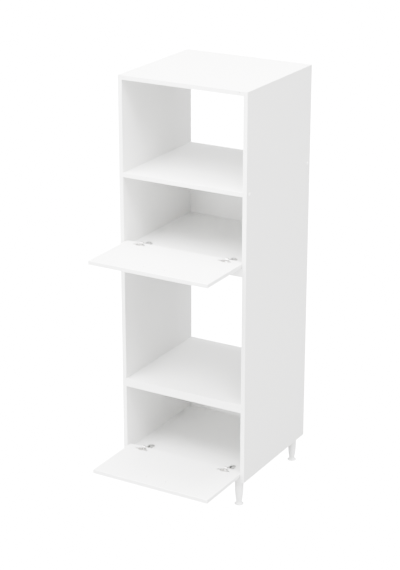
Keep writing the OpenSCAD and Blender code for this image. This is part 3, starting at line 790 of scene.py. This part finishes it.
class CABINET_OT_side_boards(bpy.types.Operator):
    """Build the two side boards"""

    bl_idname = "cabinet.side_boards"
    bl_label = "Side Boards"

    def execute(self, context):
        arris = context.scene.cabinet_sizes.board_arris
        for node in SIDE_BOARDS:
            name = node.replace("panel", "board")
            bare_cuts(dress(node, name, "cabinet", "board_white", board_material(), arris))
        return {"FINISHED"}


class CABINET_OT_shelf_boards(bpy.types.Operator):
    """Build the top, the shelves and the bottom"""

    bl_idname = "cabinet.shelf_boards"
    bl_label = "Shelf Boards"

    def execute(self, context):
        arris = context.scene.cabinet_sizes.board_arris
        for node in SHELF_BOARDS:
            name = node + "_board"
            bare_cuts(dress(node, name, "cabinet", "board_white", board_material(), arris))
        return {"FINISHED"}


class CABINET_OT_back_boards(bpy.types.Operator):
    """Build the two hardboard backs"""

    bl_idname = "cabinet.back_boards"
    bl_label = "Back Boards"

    def execute(self, context):
        arris = context.scene.cabinet_sizes.board_arris
        for node in BACK_BOARDS:
            name = node.replace("panel", "board")
            back = dress(node, name, "cabinet", "back_white", shaded_back_material(), arris)
            finish_faces(back, hardboard_material(), faces_back)
        return {"FINISHED"}


class CABINET_OT_front_bands(bpy.types.Operator):
    """Build the bands on the front edges of the cabinet"""

    bl_idname = "cabinet.front_bands"
    bl_label = "Front Bands"

    def execute(self, context):
        arris = context.scene.cabinet_sizes.band_arris
        for node in FRONT_BANDS:
            name = node.replace("bands", "trim")
            finish = ("band_white", lit_band_material())
            dress(node, name, "cabinet", *finish, arris, segments=1, edge=MOULDED_EDGE)
        return {"FINISHED"}


class CABINET_OT_flaps(bpy.types.Operator):
    """Build the two flaps with the bands round them"""

    bl_idname = "cabinet.flaps"
    bl_label = "Flaps"

    def execute(self, context):
        sizes = context.scene.cabinet_sizes
        for level in LEVELS:
            body = level + "_flap"
            node, name = body + "_panel", body + "_board"
            bare_cuts(dress(node, name, body, "board_white", board_material(), sizes.board_arris))
            node, name = body + "_edge_bands", body + "_trim"
            finish = ("band_white", lit_band_material())
            dress(node, name, body, *finish, sizes.band_arris, segments=1, edge=MOULDED_EDGE)
        return {"FINISHED"}


class CABINET_OT_screw_caps(bpy.types.Operator):
    """Build the caps over the side screws"""

    bl_idname = "cabinet.screw_caps"
    bl_label = "Screw Caps"

    def execute(self, context):
        node, name = "screw_cover_caps", "cover_caps"
        # The extra whiteness of the moulding on the caps is a painted highlight.
        finish = ("plastic_white", plastic_and_highlight_material())
        arris = context.scene.cabinet_sizes.cap_arris
        dress(node, name, "cabinet", *finish, arris, segments=3, edge=DOMED_EDGE)
        return {"FINISHED"}


class CABINET_OT_legs(bpy.types.Operator):
    """Build the legs, their plates and their feet"""

    bl_idname = "cabinet.legs"
    bl_label = "Legs"

    def execute(self, context):
        sizes = context.scene.cabinet_sizes
        finish = ("plastic_white", plastic_and_highlight_material())
        for corner in CORNERS:
            foot = corner + "_foot"
            for node, name, body, arris, edge in (
                (corner + "_leg_plate", "_flange", "cabinet", sizes.foot_arris, SQUARE_EDGE),
                (corner + "_leg", "_post", "cabinet", sizes.leg_arris, MOULDED_EDGE),
                (foot, "_pad", foot, sizes.foot_arris, MOULDED_EDGE),
            ):
                dress(node, corner + name, body, *finish, arris, segments=3, edge=edge)
        return {"FINISHED"}


class CABINET_OT_hinge_arms(bpy.types.Operator):
    """Build the hinge arms and their mounting plates"""

    bl_idname = "cabinet.hinge_arms"
    bl_label = "Hinge Arms"

    def execute(self, context):
        sizes = context.scene.cabinet_sizes
        for level in LEVELS:
            for side in SIDES:
                start = f"{level}_{side}_"
                # The mounting plates get the dull grey plating as painted shade and painted
                # reflection.
                node, name = start + "mounting_plate", start + "base_plate"
                dress(node, name, "cabinet", "nickel", shaded_plate_material(), sizes.metal_arris)
                node, name = start + "hinge_arm", start + "gooseneck"
                arm = dress(node, name, "cabinet", "nickel", nickel_material(), sizes.metal_arris)
                # The arm is one steel part, painted as a lit copy and a shaded copy: the faces of
                # its middle arch keep the nickel as a painted highlight, and the faces farther out
                # get the dull grey plating as painted shade.
                spots = [vertex.co.x for vertex in arm.data.vertices]
                middle = (min(spots) + max(spots)) / 2.0
                finish_faces(
                    arm,
                    shaded_plate_material(),
                    lambda face: any(
                        abs(spots[corner] - middle) > sizes.highlight_arch_width / 2.0
                        for corner in face.vertices
                    ),
                )
        return {"FINISHED"}


class CABINET_OT_hinge_cups(bpy.types.Operator):
    """Build the hinge cups, with their pins and springs"""

    bl_idname = "cabinet.hinge_cups"
    bl_label = "Hinge Cups"

    def execute(self, context):
        sizes = context.scene.cabinet_sizes
        for level in LEVELS:
            body = level + "_flap"
            for side in SIDES:
                start = f"{level}_{side}_"
                node, name = start + "hinge_cup", start + "cup"
                dress(node, name, body, "nickel", cup_material(), sizes.metal_arris)
            for inner, inner_name in (("hinge_pins", "pivots"), ("cup_springs", "leaf_springs")):
                node, name = f"{level}_{inner}", f"{level}_{inner_name}"
                dress(node, name, body, "zinc", zinc_material(), sizes.pin_arris)
        return {"FINISHED"}


class CABINET_OT_screws(bpy.types.Operator):
    """Build the screws that can be seen"""

    bl_idname = "cabinet.screws"
    bl_label = "Screws"

    def execute(self, context):
        arris = context.scene.cabinet_sizes.screw_arris
        screws = [
            ("mounting_plate_screws", "plate_screw_heads", "cabinet"),
            ("hinge_fixing_screws", "fixing_screw_heads", "cabinet"),
            ("hinge_adjusting_screws", "adjusting_screw_heads", "cabinet"),
            ("leg_screws", "leg_screw_heads", "cabinet"),
            ("doubling_screws", "doubling_screw_heads", "cabinet"),
        ]
        for level in LEVELS:
            screws.append((level + "_cup_screws", level + "_cup_screw_heads", level + "_flap"))
        for node, name, body in screws:
            dress(node, name, body, "zinc", zinc_material(), arris, edge=DOMED_EDGE)
        return {"FINISHED"}


class CABINET_OT_hidden_fittings(bpy.types.Operator):
    """Finish the fittings that lie inside the boards"""

    bl_idname = "cabinet.hidden_fittings"
    bl_label = "Hidden Fittings"

    def execute(self, context):
        finish_nodes(zinc_material(), "cam_bolts", "cam_locks", "microwave_shelf_screws")
        finish_nodes(beech_material(), "wooden_dowels")
        return {"FINISHED"}


# ---- Stage ----

FLOOR_RADIUS = 30.0
FLOOR_MIDDLE_RADIUS = 6.0
FLOOR_CORNERS = 96
FLOOR_GREY = (0.25, 0.25, 0.25, 1.0)
SKY_WHITE = (1.0, 1.0, 1.0, 1.0)
BACKDROP_STRENGTH = 20.0
SENSOR_WIDTH = 36.0
VIEW_LENGTH = 100.0
CABINET_MIDDLE = (0.0, 0.0, 0.9)

# Each light's name, which is also the setting of its power, then its place, where it points,
# and its width and height
STUDIO_LIGHTS = (
    ("left_key", (-1.5, -2.6, 6.4), CABINET_MIDDLE, 4.0, 4.0),
    ("right_key", (3.5, -2.5, 6.5), CABINET_MIDDLE, 3.0, 3.0),
    ("overhead", (0.0, -0.2, 8.0), (0.0, -0.2, 0.9), 2.5, 2.5),
    ("front_fill", (-1.0, -8.0, 1.2), CABINET_MIDDLE, 3.0, 3.0),
    ("right_fill", (6.5, 0.14, 1.2), CABINET_MIDDLE, 4.0, 3.0),
    ("left_fill", (-6.5, 0.14, 1.2), CABINET_MIDDLE, 4.0, 3.0),
    ("rear_fill", (0.0, 5.5, 5.0), CABINET_MIDDLE, 2.5, 2.5),
)


def floor_material():
    """A pale floor that throws back a little light.

    The cabinet doesn't rise when a foot is screwed out, so the floor lets the camera and the
    lights through to a foot below it.
    """
    material = bpy.data.materials.new("Studio Floor")
    material.use_nodes = True
    nodes, links = material.node_tree.nodes, material.node_tree.links
    nodes.clear()
    paper = nodes.new("ShaderNodeBsdfDiffuse")
    paper.inputs["Color"].default_value = FLOOR_GREY
    ray = nodes.new("ShaderNodeLightPath")
    straight = math_node(
        nodes, links, "MAXIMUM", ray.outputs["Is Camera Ray"], ray.outputs["Is Shadow Ray"]
    )
    clear = nodes.new("ShaderNodeBsdfTransparent")
    links.new(straight, clear.inputs["Color"])
    both = nodes.new("ShaderNodeAddShader")
    links.new(paper.outputs[0], both.inputs[0])
    links.new(clear.outputs[0], both.inputs[1])
    sink = nodes.new("ShaderNodeOutputMaterial")
    links.new(both.outputs[0], sink.inputs["Surface"])
    return material


def studio_sky(front, top):
    """White light, strongest straight in front and straight above, behind an even white."""
    world = bpy.data.worlds.new("Studio Sky")
    world.use_nodes = True
    nodes, links = world.node_tree.nodes, world.node_tree.links
    way = nodes.new("ShaderNodeTexCoord")
    parts = nodes.new("ShaderNodeSeparateXYZ")
    links.new(way.outputs["Generated"], parts.inputs["Vector"])
    lobes = []
    for axis, strength in (("Y", -front), ("Z", top)):
        lobe = math_node(nodes, links, "MULTIPLY", parts.outputs[axis], strength)
        lobes.append(math_node(nodes, links, "MAXIMUM", lobe, 0.0))
    lit = math_node(nodes, links, "ADD", *lobes)
    above = math_node(nodes, links, "GREATER_THAN", parts.outputs["Z"], 0.0)
    upper = math_node(nodes, links, "MULTIPLY", lit, above)
    ray = nodes.new("ShaderNodeLightPath")
    seen = nodes.new("ShaderNodeMix")
    seen.inputs["B"].default_value = BACKDROP_STRENGTH
    links.new(ray.outputs["Is Camera Ray"], seen.inputs["Factor"])
    links.new(upper, seen.inputs["A"])
    sky = nodes["Background"]
    sky.inputs["Color"].default_value = SKY_WHITE
    links.new(seen.outputs["Result"], sky.inputs["Strength"])
    return world


def soft_box(name, place, aim, width, height, power):
    """A rectangular studio light."""
    bpy.ops.object.light_add(type="AREA", location=place)
    light = bpy.context.object
    light.name = name
    light.data.shape = "RECTANGLE"
    light.data.size = width
    light.data.size_y = height
    light.data.energy = power
    way = Vector(aim) - light.location
    light.rotation_euler = way.to_track_quat("-Z", "Y").to_euler()


class CABINET_OT_stage(bpy.types.Operator):
    """Build the floor, the light and the camera"""

    bl_idname = "cabinet.stage"
    bl_label = "Stage"

    def execute(self, context):
        studio = context.scene.cabinet_studio
        select_only()
        bpy.ops.mesh.primitive_circle_add(
            vertices=FLOOR_CORNERS, radius=FLOOR_RADIUS, fill_type="NGON"
        )
        floor = context.object
        floor.name = "floor"
        bpy.ops.object.mode_set(mode="EDIT")
        bpy.ops.mesh.inset(thickness=FLOOR_RADIUS - FLOOR_MIDDLE_RADIUS)
        bpy.ops.object.mode_set(mode="OBJECT")
        floor.data.materials.append(floor_material())

        context.scene.world = studio_sky(studio.front_sky, studio.top_sky)
        for name, place, aim, width, height in STUDIO_LIGHTS:
            soft_box(name + "_light", place, aim, width, height, getattr(studio, name))

        bpy.ops.object.camera_add(
            location=studio.camera_place,
            rotation=(studio.camera_tilt, 0.0, studio.camera_turn),
        )
        camera = context.object
        camera.name = "camera"
        camera.data.lens = studio.lens
        camera.data.sensor_width = SENSOR_WIDTH
        camera.data.clip_end = VIEW_LENGTH
        context.scene.camera = camera
        return {"FINISHED"}


# ---- Panel and registration ----

OPERATORS = (
    CABINET_OT_side_boards,
    CABINET_OT_shelf_boards,
    CABINET_OT_back_boards,
    CABINET_OT_front_bands,
    CABINET_OT_flaps,
    CABINET_OT_screw_caps,
    CABINET_OT_legs,
    CABINET_OT_hinge_arms,
    CABINET_OT_hinge_cups,
    CABINET_OT_screws,
    CABINET_OT_hidden_fittings,
    CABINET_OT_stage,
)


class CABINET_PT_panel(bpy.types.Panel):
    """Sizes, colours, studio and pieces of the cabinet"""

    bl_idname = "CABINET_PT_panel"
    bl_label = "Microwave Cabinet"
    bl_space_type = "VIEW_3D"
    bl_region_type = "UI"
    bl_category = "Cabinet"

    def draw(self, context):
        column = self.layout.column(align=True)
        for group in (
            context.scene.cabinet_sizes,
            context.scene.cabinet_colours,
            context.scene.cabinet_studio,
        ):
            for setting in group.bl_rna.properties:
                if setting.identifier not in {"rna_type", "name"}:
                    column.prop(group, setting.identifier)
            column.separator()
        for operator in OPERATORS:
            column.operator(operator.bl_idname)


CLASSES = (CabinetSizes, CabinetColours, CabinetStudio, *OPERATORS, CABINET_PT_panel)


def register():
    """Adds the settings, the operators and the panel."""
    for cls in CLASSES:
        bpy.utils.register_class(cls)
    bpy.types.Scene.cabinet_sizes = PointerProperty(type=CabinetSizes)
    bpy.types.Scene.cabinet_colours = PointerProperty(type=CabinetColours)
    bpy.types.Scene.cabinet_studio = PointerProperty(type=CabinetStudio)


def unregister():
    """Takes them away again."""
    del bpy.types.Scene.cabinet_studio
    del bpy.types.Scene.cabinet_colours
    del bpy.types.Scene.cabinet_sizes
    for cls in reversed(CLASSES):
        bpy.utils.unregister_class(cls)


def main():
    """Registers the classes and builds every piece."""
    register()
    for operator in OPERATORS:
        name = operator.bl_idname.removeprefix("cabinet.")
        getattr(bpy.ops.cabinet, name)()


if __name__ == "__main__":
    main()
